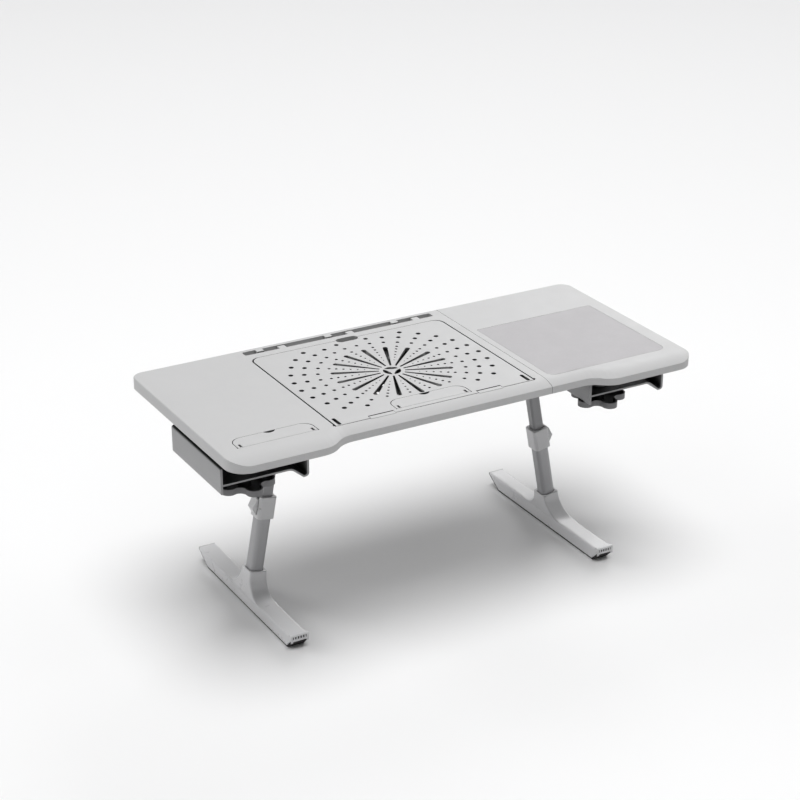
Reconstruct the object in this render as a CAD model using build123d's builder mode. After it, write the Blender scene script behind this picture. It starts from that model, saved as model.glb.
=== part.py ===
from build123d import *
import os
from math import asin, cos, pi, radians, sin, sqrt, tan

# Laptop table: the floor is z = 0, the front edge faces -Y, all sizes are in millimetres.

# Whole table
table_width = 700.0
table_height = 312.0
leg_lean = 10.4

# Board
board_depth = 323.0
board_thickness = 16.0
front_corner = 28.0
rear_corner = 17.0
edge_round = 1.7
wall = 3.0
skin = 3.0
waist_depth = 19.3
waist_share = 2 / 7
waist_run = 50.0
lip_width = 25.0
lip_drop = 6.2
lip_room = 4.0
lip_steps = 6
seam_share = 0.18
seam_gap = 0.5
base_thickness = 2.2
base_gap = 0.3
boss_radius = 4.5

# Tilting vent panel
panel_share = -0.055
panel_side_edge = 16.0
panel_front_edge = 21.0
panel_rear_edge = 33.6
panel_thickness = 5.0
panel_corner = 14.0
panel_side_gap = 2.1
gap_end_radius = 2.0
gap_end_in = 3.5
panel_rear_gap = 0.7
panel_front_gap = 0.9
panel_front_round = 1.2
panel_rest_gap = 0.1
ledge_size = 14.0
hinge_spread = 81.0
hinge_lug_width = 36.0
hinge_lug_depth = 7.5
hinge_lug_height = 5.5
hinge_lug_round = 2.0
hinge_lug_gap = 0.6
hinge_back = 3.2
hinge_drop = 2.6
hinge_pin_radius = 1.2
hinge_pin_hold = 7.0
corner_slot_inset = 6.5
corner_slot_width = 5.0
corner_slot_length = 21.0
corner_slot_front = 1.6
notch_in = 1.3
notch_width = 33.0
notch_depth = 13.5
notch_cut = 8.0

# Vents in the panel
vent_shift = -4.55
slot_count = 16
slot_inner = 17.6
slot_stop_gap = 1.8
slot_inner_width = 2.5
slot_outer_width = 7.0
spoke_dot_places = (37.0, 46.4, 56.0, 65.6, 75.4, 85.0)
spoke_dot_sizes = (1.8, 2.4, 2.8, 3.3, 3.8, 4.2)
ring_places = (100.0, 118.2, 136.3)
ring_sizes = (5.2, 6.4, 7.0)
dots_rear_edge = 13.1
dots_front_edge = 35.0
dots_stop_gap = 6.8
dots_stop_side = 14.5
hub_outer = 12.2
hub_openings = 3
hub_opening_span = 108.0
hub_opening_depth = 7.0
hub_turn = 70.0

# Flip-up stops
stop_width = 111.0
stop_depth = 27.0
stop_thickness = 3.2
stop_corner = 15.0
stop_gap = 0.5
stop_side_gap = 1.0
stop_dot_radius = 1.1
stop_floor_gap = 0.3
stop_front_round = 1.3
stop_notch_width = 16.5
stop_notch_depth = 5.0
stop_hinge_spread = 50.5
stop_hinge_back = 1.5
stop_hinge_drop = 1.7
stop_slot_width = 3.2
stop_slot_length = 9.0
stop_lug_width = 2.2
stop_lug_radius = 1.45
stop_pin_radius = 0.7
stop_pin_length = 8.0
wing_stop_shift = 1.0
wing_stop_edge = 23.2
panel_stop_edge = 8.2

# Tablet slot behind the panel
tablet_slot_spare = 1.0
tablet_slot_width = 11.9
tablet_slot_edge = 13.2
tablet_slot_depth = 10.0
tablet_slot_corner = 3.0
tab_length = 10.5
tab_rear_reach = 7.4
tab_front_reach = 9.0
tab_height = 3.0
tab_rear_start = 25.5
tab_front_start = 57.9
tab_front_end = 27.7
tabs_per_side = 3

# Mouse pad
pad_seam_edge = 10.5
pad_end_edge = 22.5
pad_front_edge = 40.6
pad_rear_edge = 95.4
pad_thickness = 2.0
pad_front_corner = 12.0
pad_rear_corner = 3.0
pad_gap = 0.3

# Fan under the panel
fan_ring_room = 11.0
fan_ring_wall = 3.0
fan_base_gap = 1.2
fan_arm_width = 8.0
fan_arm_thickness = 1.4
fan_arms = 4
fan_plate_radius = 20.0
fan_ear_radius = 5.0
fan_ear_out = 4.5
fan_ear_thickness = 3.0
fan_ear_turn = 50.6
fan_screw_length = 6.0
fan_hub_radius = 19.0
fan_hub_wall = 1.5
fan_hub_gap = 0.8
fan_hub_boss = 3.5
fan_blades = 9
fan_tip_gap = 6.0
fan_blade_root = 5.0
fan_blade_lead = 24.0
fan_blade_trail = 10.0
fan_blade_thickness = 1.2
fan_blade_pitch = 6.0
fan_blade_drop = 3.6
motor_radius = 15.0
motor_height = 2.2
motor_shaft_radius = 1.5
power_width = 13.0
power_depth = 9.0
power_height = 5.0
power_mouth_width = 9.0
power_mouth_height = 3.0
power_mouth_depth = 6.0
power_out = 60.0
power_rear = 3.0
intake_columns = 9
intake_rows = 5
intake_pitch_x = 18.0
intake_pitch_y = 34.0
intake_length = 26.0
intake_width = 7.0

# Joining bars across the seam
bar_length = 150.0
bar_height = 4.0
front_bar_width = 9.0
rear_bar_width = 6.4
bar_gap = 0.3
bar_screw_out = 40.0

# Legs
leg_setback = 29.0
leg_out = 69.5
pin_drop = 17.0
leg_pin_radius = 3.0
running_gap = 0.05
seat_gap = 0.02
upper_size = 16.5
upper_corner = 4.0
upper_wall = 1.5
upper_top = 7.5
upper_overlap = 50.0
lower_size = 20.5
lower_corner = 6.0
lower_wall = 1.6
collar_share = 0.4671
collar_length = 32.0
collar_size = 25.5
collar_corner = 5.0
collar_socket = 8.5
collar_round = 1.0
slide_gap = 0.3
lever_pivot_out = 11.0
lever_pivot_below = 16.1
lever_pin_radius = 1.1
lever_pin_half = 11.0
lever_pocket_half = 7.7
lever_half = 7.4
lever_boss = 2.2
lever_top = 12.0
lever_top_inner = 12.9
lever_top_outer = 15.2
lever_knee_out = 20.0
lever_knee = -2.0
lever_end_out = 14.6
lever_end = -10.0
lever_clear = 0.4
lever_pocket_low = 4.0

# Leg brackets
bracket_length = 52.0
bracket_width = 46.0
bracket_plate = 3.0
bracket_cheek = 3.0
bracket_cheek_gap = 0.4
bracket_inner = 12.0
bracket_outer = 17.0
bracket_low = 18.5
bracket_nose = 9.0
bracket_stop_gap = 0.3
bracket_stop_start = 8.5
bracket_stop_end = 18.0
bracket_screw_x = 20.0
bracket_screw_y = 17.0
bracket_block_room = 6.0
bracket_block_top = 2.0

# Feet
foot_length = 291.0
foot_width = 26.0
foot_height = 20.0
heel_undercut = 28.0
heel_face = 3.0
toe_undercut = 11.0
toe_face = 9.0
sole_thickness = 2.5
sole_inset = 0.8
sole_plate = 0.7
socket_above = 31.5
socket_below = 8.7
socket_gap = 0.05
socket_mouth_gap = 0.8
socket_mouth_depth = 3.0
saddle_half = 13.5
saddle_rise = 31.0
saddle_steps = 6
saddle_run = 14.0
foot_round = 2.4
toe_lip_height = 2.2
toe_lip_depth = 7.0
toe_reach = 1.5
toe_cheek = 3.0
toe_ribs = 5
toe_rib_pitch = 3.9
toe_rib_width = 2.0
toe_rib_height = 4.0
toe_bar_height = 3.0
plug_length = 10.0
foot_bolt_radius = 3.0
foot_bolt_head = 5.5
foot_bolt_head_height = 3.0
foot_bolt_seat = 4.3
foot_bolt_bite = 9.0
foot_bolt_room = 0.4

# Trays
tray_end_edge = 9.5
tray_length = 154.0
tray_leg_gap = 21.0
tray_front_edge = 60.5
tray_top_drop = 33.0
tray_height = 38.3
tray_wall = 3.0
tray_shelf_drop = 22.0
tray_shelf = 2.5
tray_lip_drop = 35.5
tray_trough = 4.5
tray_trough_round = 2.5
tray_ramp_angle = 40.0
tray_ramp_round = 16.0
tray_corner = 6.0
tray_bottom_round = 5.0
tray_top_round = 2.0
tray_pivot_left = 46.5
tray_pivot_right = 34.5
tray_pivot_y = 29.0
post_radius = 12.0
post_flange_radius = 22.0
post_flange = 3.0
post_screw_circle = 17.0
post_screws = 3
post_gap = 0.1
tray_bolt_radius = 4.0
tray_bolt_head = 7.0
tray_bolt_head_height = 4.0
tray_bolt_room = 0.2
washer_radius = 10.0
washer_thickness = 1.0

# Knobs
knob_lobes = 5
knob_lobe_radius = 10.8
knob_lobe_circle = 28.0
knob_valley = 9.0
knob_rim_drop = 69.5
knob_height = 8.5
knob_wall = 2.2
knob_floor = 2.0
knob_hub = 9.0
knob_bolt_cover = 2.0
knob_gap = 0.1

# Screws
screw_radius = 1.5
screw_head = 3.0
screw_head_height = 1.8
screw_length = 7.5
big_screw_radius = 2.0
big_screw_head = 3.6
big_screw_head_height = 2.4
big_screw_length = 11.0
screw_slack = 0.1
screw_end_in = 25.0
screw_side_in = 29.5
screw_middle_in = 115.0
screw_edge_in = 23.5
screw_seam_in = 7.4
screw_seam_out = 14.0
screw_seam_y = 60.0
screw_wing_in = 55.5

# Places worked out from the sizes above
half_width = table_width / 2
front_y = -board_depth / 2
waist_y = front_y + waist_depth
waist_half = table_width * waist_share
seam_x = table_width * seam_share
panel_x = table_width * panel_share
panel_width = 2 * (seam_x - panel_side_edge - panel_x)
panel_left = panel_x - panel_width / 2
panel_front = waist_y + panel_front_edge
panel_rear = -front_y - panel_rear_edge
notch_y = panel_rear - notch_in
vent_y = (panel_front + panel_rear) / 2 + vent_shift
wing_stop_x = (panel_left - half_width) / 2 + wing_stop_shift
wing_stop_front = waist_y + wing_stop_edge
panel_stop_front = panel_front + panel_stop_edge
stop_reach = vent_y - panel_stop_front - stop_depth
slot_outer = stop_reach - slot_stop_gap
dots_rear_limit = panel_rear - vent_y - dots_rear_edge
dots_front_limit = panel_front - vent_y + dots_front_edge
dots_stop_rear = dots_stop_gap - stop_reach
dots_stop_half = stop_width / 2 + dots_stop_side
tablet_slot_length = panel_width + tablet_slot_spare
tablet_slot_y = -front_y - tablet_slot_edge
tab_pitch = (tablet_slot_length - tab_front_start - tab_front_end) / (tabs_per_side - 1)
tab_rear_first = tab_rear_start - tablet_slot_length / 2
tab_front_first = tab_front_start - tablet_slot_length / 2
pad_width = half_width - seam_x - pad_seam_edge - pad_end_edge
pad_depth = board_depth - pad_front_edge - pad_rear_edge
pad_x = seam_x + pad_seam_edge + pad_width / 2
pad_y = front_y + pad_front_edge + pad_depth / 2
fan_ring_inner = slot_outer + fan_ring_room
fan_blade_tip = fan_ring_inner - fan_tip_gap
pin_x = seam_x + leg_out
tray_inner_x = pin_x + tray_leg_gap
tray_width = half_width - tray_inner_x - tray_end_edge
tray_front = front_y + tray_front_edge
board_y = -(leg_setback + foot_length / 2 - board_depth / 2) / 2
leg_y = board_y + leg_setback
top_z = table_height
under_z = top_z - board_thickness
base_top = under_z + base_thickness
panel_under = top_z - panel_thickness
hinge_y = panel_front + hinge_back
hinge_z = top_z - hinge_drop
well_front = panel_front - panel_front_gap
well_rear = panel_rear + panel_rear_gap
well_width = panel_width + 2 * panel_side_gap
well_depth = well_rear - well_front
well_y = (well_rear + well_front) / 2
lug_rear = well_front + hinge_lug_depth
stop_floor = stop_thickness + stop_floor_gap
pin_z = under_z - pin_drop
lean_sin = sin(radians(leg_lean))
lean_cos = cos(radians(leg_lean))
main_edge = seam_x - seam_gap / 2
wing_edge = seam_x + seam_gap / 2
lip_hollow = board_thickness - base_thickness - lip_drop - skin
main_hollow = board_thickness - base_thickness - skin
wing_hollow = main_hollow - pad_thickness
hollow_front = waist_y + lip_width
slot_block_front = tablet_slot_y - tablet_slot_width / 2 - wall
front_bar_y = (waist_y + well_front) / 2
rear_bar_y = (well_rear + wall + slot_block_front) / 2
bars = ((front_bar_y, front_bar_width), (rear_bar_y, rear_bar_width))
ear_reach = fan_ring_inner + fan_ring_wall + fan_ear_out
fan_low = base_top + fan_base_gap
fan_plate_top = fan_low + fan_arm_thickness
tray_top = top_z - tray_top_drop
tray_bottom = tray_top - tray_height
shelf_top = tray_top - tray_shelf_drop
shelf_under = shelf_top - tray_shelf
tray_left = {-1: -tray_inner_x - tray_width, 1: tray_inner_x}
tray_pivot = {-1: tray_left[-1] + tray_pivot_left, 1: tray_left[1] + tray_pivot_right}
pivot_y = tray_front + tray_pivot_y
washer_low = shelf_under - washer_thickness
knob_top = top_z - knob_rim_drop
knob_low = knob_top - knob_height
knob_step = pi / knob_lobes
knob_side = knob_lobe_circle * sin(knob_step)
knob_valley_place = sqrt((knob_lobe_radius + knob_valley) ** 2 - knob_side**2)
knob_valley_place += knob_lobe_circle * cos(knob_step)
foot_x = pin_x + (pin_z - foot_height) * tan(radians(leg_lean))
saddle_levels = [(-foot_round, saddle_half + saddle_rise + saddle_run)]
for n in range(saddle_steps + 1):
    turn = n * pi / 2 / saddle_steps
    saddle_levels.append((saddle_rise * (1 - cos(turn)), saddle_half + saddle_rise * (1 - sin(turn))))
saddle_levels.append((saddle_rise + foot_height, saddle_half))
leg_length = (pin_z - foot_height) / lean_cos
socket_rim = leg_length - socket_above
socket_end = leg_length + socket_below
collar_start = leg_length * collar_share
collar_end = collar_start + collar_length
lower_start = collar_end - collar_socket
lever_pivot = collar_start + lever_pivot_below
bolt_seat = socket_end + foot_bolt_seat
sides = ((-1, "left"), (1, "right"))
corner_x = half_width - screw_end_in
corner_y = -front_y - screw_side_in
middle_x = half_width - screw_middle_in
middle_y = -front_y - screw_edge_in
seam_y = -front_y - screw_wing_in
main_screw_spots = [(-corner_x, -corner_y), (-corner_x, corner_y), (-middle_x, -middle_y)]
main_screw_spots += [(panel_left - screw_end_in, middle_y)]
main_screw_spots += [(seam_x - screw_seam_in, turn * screw_seam_y) for turn in (-1, 1)]
wing_screw_spots = [(corner_x, corner_y), (corner_x, -corner_y), (middle_x, middle_y)]
wing_screw_spots += [(seam_x + screw_seam_out, turn * seam_y) for turn in (-1, 1)]
main_screw_spots += [(seam_x - bar_screw_out, bar_y) for bar_y, bar_width in bars]
wing_screw_spots += [(seam_x + bar_screw_out, bar_y) for bar_y, bar_width in bars]
post_turns = [2 * pi * n / post_screws for n in range(post_screws)]
bracket_xs = (-bracket_screw_x, bracket_screw_x)
bracket_ys = (-bracket_screw_y, bracket_screw_y)
bracket_spots = [(x, y) for x in bracket_xs for y in bracket_ys]


def keep(piece, name):
    """Label a finished piece and write it to its own file."""
    piece.part.label = name
    export_step(piece.part, f"parts/{name}.step")


def board_level(z, x=0.0, y=0.0):
    """Level plane at height z, with its origin at a point given from the board's centre."""
    return Plane((x, board_y + y, z))


def leg_plane(side, below=0.0):
    """Plane square to a leg, this far below its pin: local X points outward, local Z up the leg."""
    origin = (side * (pin_x + below * lean_sin), leg_y, pin_z - below * lean_cos)
    return Plane(origin, x_dir=(side * lean_cos, 0, lean_sin), z_dir=(-side * lean_sin, 0, lean_cos))


def leg_profile_plane(side, below=0.0):
    """Plane through a leg's middle: local X points outward, local Y up the leg."""
    plane = leg_plane(side, below)
    return Plane(plane.origin, x_dir=plane.x_dir, z_dir=-plane.y_dir)


def front_edge(x):
    """Where the board's front edge is at x, with an S of two arcs at each end of the waist."""
    radius = (waist_run**2 + waist_depth**2) / (4 * waist_depth)
    along = waist_half + waist_run / 2 - abs(x)
    if along <= 0:
        return front_y
    if along >= waist_run:
        return waist_y
    if along <= waist_run / 2:
        return front_y + radius - sqrt(radius**2 - along**2)
    return waist_y - radius + sqrt(radius**2 - (waist_run - along) ** 2)


def knob_joint(turn, way):
    """Where a knob's lobe at this angle meets the valley on one side of it."""
    share = knob_lobe_radius / (knob_lobe_radius + knob_valley)
    valley_turn = turn + way * knob_step
    x = (1 - share) * knob_lobe_circle * cos(turn) + share * knob_valley_place * cos(valley_turn)
    y = (1 - share) * knob_lobe_circle * sin(turn) + share * knob_valley_place * sin(valley_turn)
    return (x, y)


def bracket_screw_spots(side):
    """Centres of the screws of a leg bracket, from the board's centre."""
    return [(side * pin_x + x, leg_setback + y) for x, y in bracket_spots]


def post_screw_spots(side):
    """Centres of the screws of a tray post, from the board's centre."""
    centre = tray_pivot[side]
    reach = post_screw_circle
    return [(centre + reach * cos(turn), pivot_y + reach * sin(turn)) for turn in post_turns]


def dot_spots(places, sizes, count, first):
    """Centres and sizes of the panel's round holes on rings about the fan, less those with no room."""
    spots = []
    for reach, size in zip(places, sizes):
        for n in range(count):
            turn = radians(first + 360 * n / count)
            x = reach * cos(turn)
            y = reach * sin(turn)
            behind_stop = y < dots_stop_rear and abs(x) < dots_stop_half
            in_notch = abs(x) < (notch_width + size) / 2 + wall and y + vent_y > notch_y - notch_depth
            in_panel = dots_front_limit <= y <= dots_rear_limit
            in_panel = in_panel and abs(x) + size / 2 + wall < panel_width / 2
            if in_panel and not behind_stop and not in_notch:
                spots.append((x, y, size / 2))
    return spots


os.makedirs("parts", exist_ok=True)

# Plan of the whole board, with the waist in its front edge
with BuildSketch() as board_plan:
    with BuildLine():
        s_ends = {}
        for side, side_name in sides:
            outer = (side * (waist_half + waist_run / 2), front_y)
            middle = (side * waist_half, (front_y + waist_y) / 2)
            inner = (side * (waist_half - waist_run / 2), waist_y)
            TangentArc(outer, middle, tangent=(-side, 0))
            TangentArc(inner, middle, tangent=(side, 0))
            s_ends[side] = (outer, inner)
        Line(s_ends[-1][1], s_ends[1][1])
        Polyline(
            s_ends[-1][0],
            (-half_width, front_y),
            (-half_width, -front_y),
            (half_width, -front_y),
            (half_width, front_y),
            s_ends[1][0],
        )
    make_face()
    fillet(board_plan.vertices().group_by(Axis.Y)[-1], rear_corner)
    columns = board_plan.vertices().group_by(Axis.X)
    fillet((columns[0] + columns[-1]).group_by(Axis.Y)[0], front_corner)

# Roll-off along the front edge: one curved wedge, carried along the edge from end to end
lip_radius = (lip_width**2 + lip_drop**2) / (2 * lip_drop)
lip_slope = tan(asin(lip_width / lip_radius))
lip_stations = [waist_half + waist_run * (0.5 - n / lip_steps) for n in range(lip_steps + 1)]
lip_stations = [half_width + lip_room] + lip_stations
lip_stations = [-x for x in lip_stations] + lip_stations[::-1]
with BuildPart() as lip_tool:
    for x in lip_stations:
        edge = front_edge(x)
        start = (edge + lip_width, top_z)
        end = (edge, top_z - lip_drop)
        with BuildSketch(Plane((x, board_y, 0), x_dir=(0, 1, 0), z_dir=(1, 0, 0))):
            with BuildLine():
                TangentArc(start, end, tangent=(-1, 0))
                Polyline(
                    end,
                    (edge - lip_room, top_z - lip_drop - lip_room * lip_slope),
                    (edge - lip_room, top_z + lip_room),
                    (edge + lip_width, top_z + lip_room),
                    start,
                )
            make_face()
    loft(ruled=True)

with BuildPart() as board_blank:
    with BuildSketch(board_level(under_z)):
        add(board_plan.sketch)
    extrude(amount=board_thickness)
    fillet(board_blank.faces().sort_by(Axis.Z)[-1].edges(), edge_round)
    add(lip_tool.part, mode=Mode.SUBTRACT)


def inside_plan(inset, x_low, x_high):
    """Plan of the board's inside, this far in from the outline, between two x values."""
    with BuildSketch() as plan:
        add(board_plan.sketch)
        offset(amount=-inset)
        with Locations(((x_low + x_high) / 2, 0)):
            Rectangle(x_high - x_low, board_depth, mode=Mode.INTERSECT)
    return plan.sketch


def shell_room(plan, blocks, hollow):
    """Space inside half of the board: the seat of its bottom cover and the hollows above it."""
    with BuildPart() as room:
        with BuildSketch(board_level(under_z)):
            add(plan)
        extrude(amount=base_thickness)
        with BuildSketch(board_level(base_top)):
            add(plan)
            add(blocks, mode=Mode.SUBTRACT)
        extrude(amount=lip_hollow)
        with BuildSketch(board_level(base_top)):
            add(plan)
            with Locations((0, (hollow_front - front_y) / 2)):
                Rectangle(table_width, -front_y - hollow_front, mode=Mode.INTERSECT)
            add(blocks, mode=Mode.SUBTRACT)
        extrude(amount=hollow)
    return room.part


def fixing_room(side, spots):
    """Screw holes and the tray bolt's pocket above the bottom cover of half of the board."""
    with BuildPart() as room:
        with BuildSketch(board_level(base_top)):
            with Locations(*spots, *post_screw_spots(side)):
                Circle(screw_radius + seat_gap)
        extrude(amount=screw_length - base_thickness + screw_slack)
        with BuildSketch(board_level(base_top)):
            with Locations(*bracket_screw_spots(side)):
                Circle(big_screw_radius + seat_gap)
        extrude(amount=big_screw_length - base_thickness - bracket_plate + screw_slack)
        with BuildSketch(board_level(base_top)):
            with Locations((tray_pivot[side], pivot_y)):
                Circle(tray_bolt_head + tray_bolt_room)
        extrude(amount=tray_bolt_head_height + tray_bolt_room)
    return room.part


def bar_room(x):
    """Slots through a seam wall for the joining bars."""
    with BuildPart() as room:
        for bar_y, bar_width in bars:
            with Locations((x, board_y + bar_y, base_top + (bar_height + bar_gap) / 2)):
                Box(2 * wall, bar_width + 2 * bar_gap, bar_height + bar_gap)
    return room.part


def stop_plan(side_gap, gap):
    """Plan of a flip-up stop, grown by gaps, with its front edge through the origin."""
    with BuildSketch() as plan:
        with Locations((0, stop_depth / 2)):
            Rectangle(stop_width + 2 * side_gap, stop_depth + 2 * gap)
        fillet(plan.vertices().group_by(Axis.Y)[-1], stop_corner)
    return plan.sketch


def stop_recess():
    """Plan of a stop's recess, with a round relief at the front of each side gap."""
    with BuildSketch() as plan:
        add(stop_plan(stop_side_gap, stop_gap))
        with GridLocations(stop_width + stop_side_gap, 1, 2, 1):
            Circle(stop_dot_radius)
    return plan.sketch


def pad_plan(gap):
    """Plan of the mouse pad, grown by a gap: round at the front, nearly square at the rear."""
    with BuildSketch() as plan:
        Rectangle(pad_width + 2 * gap, pad_depth + 2 * gap)
        fillet(plan.vertices().group_by(Axis.Y)[0], pad_front_corner + gap)
        fillet(plan.vertices().group_by(Axis.Y)[-1], pad_rear_corner + gap)
    return plan.sketch


def cross_bars(x, spread, y, z, radius, length):
    """Two round bars along X on a hinge line, used for the pins and for their holes."""
    with BuildPart() as pair:
        for turn in (-1, 1):
            with BuildSketch(Plane((x + turn * spread - length / 2, board_y + y, z), z_dir=(1, 0, 0))):
                Circle(radius)
            extrude(amount=length)
    return pair.part


def hinge_bars(radius, length):
    """The two bars of the vent panel's hinge."""
    return cross_bars(panel_x, hinge_spread, hinge_y, hinge_z, radius, length)


def stop_bars(x, front, radius, length):
    """The two bars of a stop's hinge."""
    y = front + stop_hinge_back
    return cross_bars(x, stop_hinge_spread, y, top_z - stop_hinge_drop, radius, length)


def stop_lugs(x, front):
    """Two small posts that carry a stop's hinge pins, standing in its recess."""
    height = stop_floor - stop_hinge_drop
    with BuildPart() as lugs:
        add(stop_bars(x, front, stop_lug_radius, stop_lug_width))
        for turn in (-1, 1):
            lug_y = board_y + front + stop_hinge_back
            with Locations((x + turn * stop_hinge_spread, lug_y, top_z - stop_floor + height / 2)):
                Box(stop_lug_width, 2 * stop_lug_radius, height)
    return lugs.part


def screw_group(spots, z, radius, length, head, head_height):
    """Pan-head screws pointing up, their heads under height z."""
    with BuildPart() as group:
        with BuildSketch(board_level(z)):
            with Locations(*spots):
                Circle(radius)
        extrude(amount=length)
        with BuildSketch(board_level(z)):
            with Locations(*spots):
                Circle(head)
        extrude(amount=-head_height)
        rims = group.edges().filter_by(GeomType.CIRCLE).group_by(Axis.Z)[0]
        fillet(rims, head_height / 2)
    return group


# Parts of each half that stay solid between its skin and its bottom cover
with BuildSketch() as main_blocks:
    with Locations((panel_x, well_y)):
        Rectangle(well_width + 2 * wall, well_depth + 2 * wall)
    with Locations((panel_x, (slot_block_front - front_y) / 2)):
        Rectangle(tablet_slot_length + 2 * wall, -front_y - slot_block_front)
    with Locations((panel_x, (well_rear + slot_block_front) / 2)):
        Rectangle(notch_width + 2 * wall, slot_block_front - well_rear + 2 * wall)
    with Locations((wing_stop_x, wing_stop_front + stop_depth / 2)):
        Rectangle(stop_width + 2 * wall, stop_depth + 2 * wall)
    with Locations((-pin_x, leg_setback)):
        Rectangle(bracket_length, bracket_width)
    with Locations((tray_pivot[-1], pivot_y)):
        Circle(post_flange_radius)
    with Locations(*main_screw_spots[:-2]):
        Circle(boss_radius)

with BuildSketch() as wing_blocks:
    with Locations((pin_x, leg_setback)):
        Rectangle(bracket_length, bracket_width)
    with Locations((tray_pivot[1], pivot_y)):
        Circle(post_flange_radius)
    with Locations(*wing_screw_spots[:-2]):
        Circle(boss_radius)

# Main board: left wing and centre in one moulding
with BuildPart() as top_board:
    add(board_blank.part)
    split(bisect_by=Plane.YZ.offset(main_edge), keep=Keep.BOTTOM)
    add(shell_room(inside_plan(wall, -half_width, main_edge - wall), main_blocks.sketch, main_hollow),
        mode=Mode.SUBTRACT)
    # Well that the vent panel lies in
    with BuildSketch(board_level(base_top, panel_x, well_y)) as well:
        Rectangle(well_width, well_depth)
        fillet(well.vertices().group_by(Axis.Y)[-1], panel_corner)
        with GridLocations(well_width, well_depth - 2 * gap_end_in, 2, 1):
            with Locations((0, gap_end_in - well_depth / 2)):
                Circle(gap_end_radius)
    extrude(amount=top_z - base_top, mode=Mode.SUBTRACT)
    # Ledges under the panel's rear corners, and a block for the left bracket's inner screws
    ledge_height = panel_under - panel_rest_gap - base_top
    for turn in (-1, 1):
        ledge_x = panel_x + turn * (well_width - ledge_size) / 2
        with Locations((ledge_x, board_y + well_rear - ledge_size / 2, base_top + ledge_height / 2)):
            Box(ledge_size, ledge_size, ledge_height)
    block_left = panel_x - well_width / 2
    block_right = bracket_screw_x - pin_x + bracket_block_room
    block_height = panel_under - bracket_block_top - base_top
    with Locations(((block_left + block_right) / 2, leg_y, base_top + block_height / 2)):
        Box(block_right - block_left, bracket_width, block_height)
    # Hinge lugs and their pin holes
    for turn in (-1, 1):
        lug_y = (well_front - wall / 2 + lug_rear) / 2
        with Locations((panel_x + turn * hinge_spread, board_y + lug_y, top_z - hinge_lug_height / 2)):
            Box(hinge_lug_width, lug_rear - well_front + wall / 2, hinge_lug_height)
    lug_edges = top_board.edges().filter_by(Axis.X)
    lug_edges = lug_edges.filter_by(lambda e: abs(e.center().Y - board_y - lug_rear) < seat_gap)
    fillet(lug_edges, hinge_lug_round)
    add(hinge_bars(hinge_pin_radius + seat_gap, hinge_lug_width + wall), mode=Mode.SUBTRACT)
    # Finger notch behind the panel
    with BuildSketch(board_level(top_z, panel_x, notch_y)):
        SlotOverall(notch_width, notch_depth)
    extrude(amount=-notch_cut, mode=Mode.SUBTRACT)
    # Tablet slot and its tabs
    with BuildSketch(board_level(top_z, panel_x, tablet_slot_y)):
        RectangleRounded(tablet_slot_length, tablet_slot_width, tablet_slot_corner)
    extrude(amount=-tablet_slot_depth, mode=Mode.SUBTRACT)
    for first, reach, turn in ((tab_rear_first, tab_rear_reach, 1), (tab_front_first, tab_front_reach, -1)):
        for n in range(tabs_per_side):
            tab_y = tablet_slot_y + turn * (tablet_slot_width - reach) / 2
            with Locations((panel_x + first + n * tab_pitch, board_y + tab_y, top_z - tab_height / 2)):
                Box(tab_length, reach, tab_height)
    # Recess of the wing stop, with its hinge lugs
    with BuildSketch(board_level(top_z, wing_stop_x, wing_stop_front)):
        add(stop_recess())
    extrude(amount=-stop_floor, mode=Mode.SUBTRACT)
    add(stop_lugs(wing_stop_x, wing_stop_front))
    add(stop_bars(wing_stop_x, wing_stop_front, stop_pin_radius + seat_gap, stop_lug_width + wall),
        mode=Mode.SUBTRACT)
    add(bar_room(main_edge), mode=Mode.SUBTRACT)
    add(fixing_room(-1, main_screw_spots), mode=Mode.SUBTRACT)
keep(top_board, "top_board")

# Right wing board, with the seat of the mouse pad
with BuildPart() as wing_board:
    add(board_blank.part)
    split(bisect_by=Plane.YZ.offset(wing_edge), keep=Keep.TOP)
    add(shell_room(inside_plan(wall, wing_edge + wall, half_width), wing_blocks.sketch, wing_hollow),
        mode=Mode.SUBTRACT)
    with BuildSketch(board_level(top_z, pad_x, pad_y)):
        add(pad_plan(pad_gap))
    extrude(amount=-pad_thickness, mode=Mode.SUBTRACT)
    add(bar_room(wing_edge), mode=Mode.SUBTRACT)
    add(fixing_room(1, wing_screw_spots), mode=Mode.SUBTRACT)
keep(wing_board, "wing_board")

with BuildPart() as mouse_pad:
    with BuildSketch(board_level(top_z - pad_thickness, pad_x, pad_y)):
        add(pad_plan(0))
    extrude(amount=pad_thickness)
keep(mouse_pad, "mouse_pad")

# Bottom covers
cover_inset = wall + base_gap
with BuildPart() as main_base:
    with BuildSketch(board_level(under_z)):
        add(inside_plan(cover_inset, -half_width, main_edge - cover_inset))
        with Locations(*main_screw_spots, *post_screw_spots(-1)):
            Circle(screw_radius + screw_slack, mode=Mode.SUBTRACT)
        with Locations(*bracket_screw_spots(-1)):
            Circle(big_screw_radius + screw_slack, mode=Mode.SUBTRACT)
        with Locations((tray_pivot[-1], pivot_y)):
            Circle(tray_bolt_radius + screw_slack, mode=Mode.SUBTRACT)
        with Locations((panel_x, vent_y)):
            with GridLocations(intake_pitch_x, intake_pitch_y, intake_columns, intake_rows):
                SlotOverall(intake_length, intake_width, rotation=90, mode=Mode.SUBTRACT)
    extrude(amount=base_thickness)
keep(main_base, "main_base")

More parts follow.
